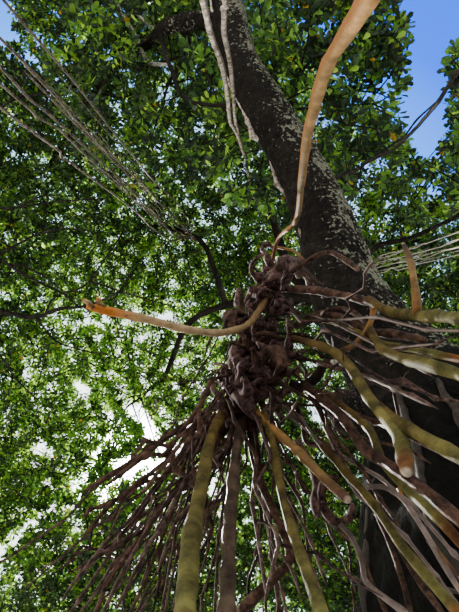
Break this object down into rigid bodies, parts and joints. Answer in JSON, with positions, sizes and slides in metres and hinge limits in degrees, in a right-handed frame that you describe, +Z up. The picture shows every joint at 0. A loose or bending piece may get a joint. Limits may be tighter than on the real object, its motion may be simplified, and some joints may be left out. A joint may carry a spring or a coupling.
{
  "type": "banyan tree",
  "caption": "Whole banyan tree with a short fluted trunk, leaning boughs, hanging aerial roots and a broad domed crown held as separate masses of foliage.",
  "frame": {"origin": "middle of the flat cut under the trunk at ground level", "axes": "+Z up; +X to the right and +Y to the bottom of the picture, which looks up from beside the trunk"},
  "size_m": [16.555, 15.9573, 12.379],
  "materials": {
    "bark": "rough grey-brown bark with pale lichen",
    "bark_young": "smoother young bark",
    "root_dark": "reddish brown to olive root bark",
    "root_pale": "pale pinkish root bark",
    "foliage": "glossy leaves, lit through from above"
  },
  "bodies": {
    "root": {"trunk": "bark", "leader": "bark", "main_stem": "bark", "bough_stub": "bark", "bough_east": "bark", "bough_back": "bark", "bough_southwest": "bark", "bough_northwest": "bark", "limb_upper_west": "bark_young", "limb_upper_northwest": "bark_young", "limb_upper_north": "bark_young", "limb_inner_east": "bark_young", "limb_upper_east": "bark_young", "limb_upper_south": "bark_young", "limb_middle_northeast": "bark_young", "limb_middle_east": "bark_young", "limb_middle_southwest": "bark_young", "limb_low_southeast": "bark_young", "limb_low_south": "bark_young", "limb_low_southwest": "bark_young", "limb_low_west": "bark_young", "limb_low_northwest": "bark_young", "limb_low_northeast": "bark_young", "limb_inner_north": "bark_young", "limb_inner_northeast": "bark_young", "limb_inner_northwest": "bark_young", "roots_tuft": "root_dark", "roots_west": "root_pale", "roots_north": "root_pale", "roots_east": "root_pale", "roots_south": "root_pale", "roots_far_east": "root_pale", "roots_northeast": "root_dark", "foliage_crown_top": "foliage", "foliage_upper_east": "foliage", "foliage_upper_south": "foliage", "foliage_upper_west": "foliage", "foliage_upper_northwest": "foliage", "foliage_upper_north": "foliage", "foliage_middle_northeast": "foliage", "foliage_middle_east": "foliage", "foliage_middle_south": "foliage", "foliage_middle_southwest": "foliage", "foliage_middle_west": "foliage", "foliage_middle_northwest": "foliage", "foliage_middle_north": "foliage", "foliage_low_east": "foliage", "foliage_low_southeast": "foliage", "foliage_low_south": "foliage", "foliage_low_southwest": "foliage", "foliage_low_west": "foliage", "foliage_low_northwest": "foliage", "foliage_low_northeast": "foliage", "foliage_inner_north": "foliage", "foliage_inner_east": "foliage", "foliage_inner_northeast": "foliage", "foliage_inner_northwest": "foliage"}
  },
  "joints": []
}
